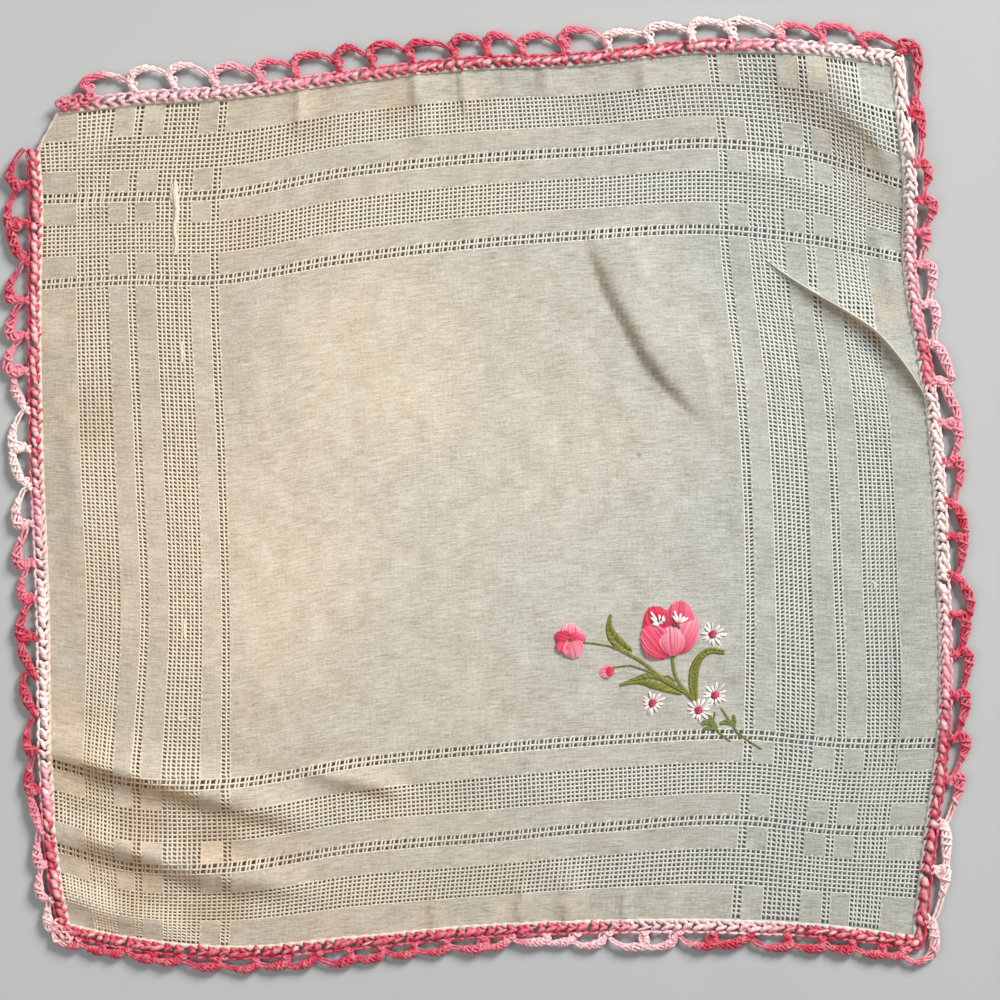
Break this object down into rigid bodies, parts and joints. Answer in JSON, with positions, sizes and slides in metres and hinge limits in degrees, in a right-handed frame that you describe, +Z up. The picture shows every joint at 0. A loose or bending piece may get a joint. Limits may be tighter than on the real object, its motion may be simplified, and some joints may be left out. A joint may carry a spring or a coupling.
{
  "type": "linen handkerchief",
  "caption": "Square openwork-striped linen handkerchief with a crocheted edging, laid out with soft folds and one corner turned under.",
  "frame": {"origin": "centre of the bounding box at the height of the surface it lies on", "axes": "+Z up, +X to the right and +Y away, seen from above with the turned corner at the upper left"},
  "size_m": [0.3014, 0.297, 0.0042],
  "materials": {
    "linen": "matt woven linen with openwork stripes",
    "heading_cotton": "variegated pink crochet cotton, close stitches",
    "loop_cotton": "variegated pink crochet cotton, open loops"
  },
  "bodies": {
    "root": {"linen_square": "linen", "crochet_heading": "heading_cotton", "crochet_loops": "loop_cotton"}
  },
  "joints": []
}
